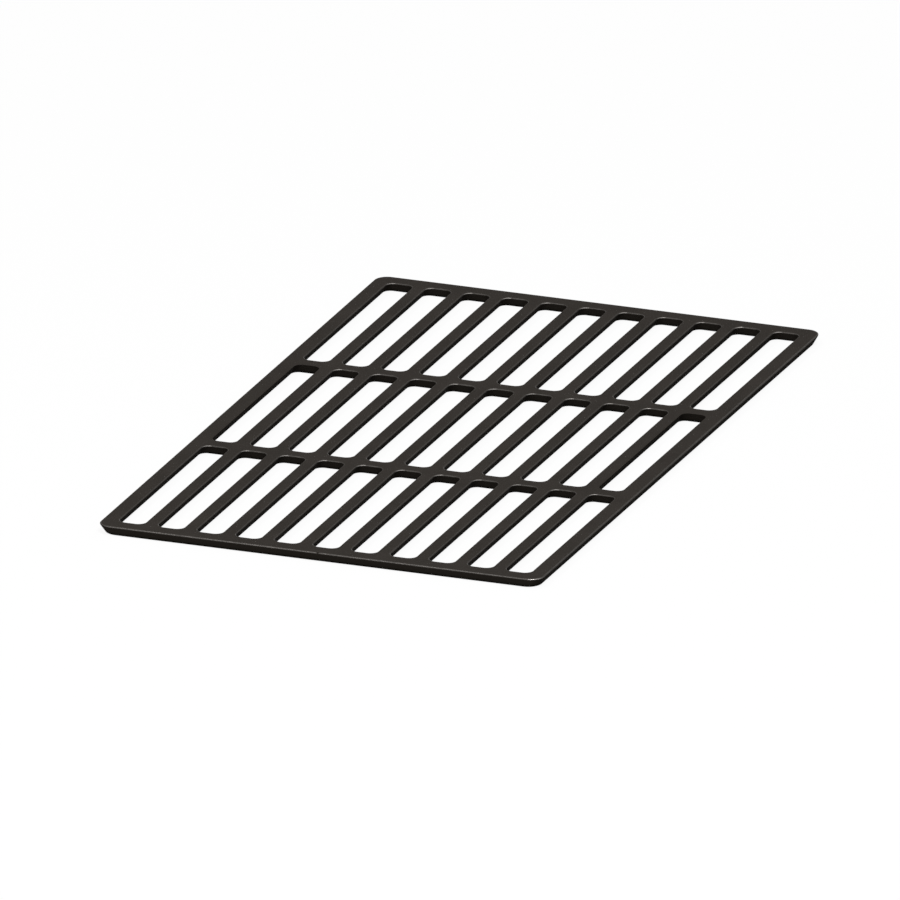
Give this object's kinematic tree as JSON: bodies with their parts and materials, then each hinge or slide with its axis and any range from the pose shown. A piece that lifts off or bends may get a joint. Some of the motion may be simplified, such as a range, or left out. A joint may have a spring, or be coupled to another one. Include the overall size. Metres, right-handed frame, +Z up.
{
  "type": "grill cooking grate",
  "caption": "Flat rectangular cooking grate, cast in one piece, with tapered bars and rows of long round-cornered slots that pass heat and fat between cross rails.",
  "frame": {"origin": "middle of the underside, on the surface that the grate rests on", "axes": "+Z up, out of the cooking face; +Y along the bars, from the front rim to the back rim; +X across the bars"},
  "size_m": [0.2868, 0.485, 0.0062],
  "materials": {
    "cast_iron": "matt seasoned cast iron, dark warm grey, edges a little brighter"
  },
  "bodies": {
    "root": {"grate": "cast_iron"}
  },
  "joints": []
}
